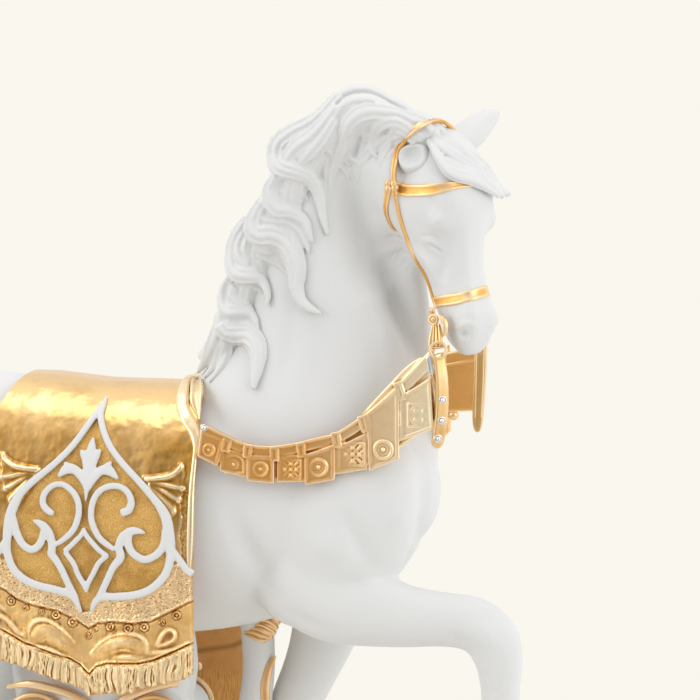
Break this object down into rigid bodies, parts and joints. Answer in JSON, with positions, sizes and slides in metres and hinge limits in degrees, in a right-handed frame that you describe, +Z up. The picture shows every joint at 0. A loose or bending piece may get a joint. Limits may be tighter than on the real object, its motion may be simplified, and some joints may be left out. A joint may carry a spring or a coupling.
{
  "type": "horse sculpture",
  "caption": "White porcelain horse in gilded parade harness and saddle cloth, one foreleg raised, on a low rectangular plinth with a carved support under the belly.",
  "frame": {"origin": "centre of the plinth's flat underside", "axes": "+Z up, +X the way the horse faces, -Y the horse's right side, which is the side with the raised foreleg"},
  "size_m": [0.4279, 0.168, 0.4997],
  "materials": {
    "white_porcelain": "matte unglazed white porcelain with fired gold relief",
    "white_glaze": "white porcelain with a thin fired gold line"
  },
  "bodies": {
    "root": {"horse": "white_porcelain", "base": "white_glaze"}
  },
  "joints": []
}
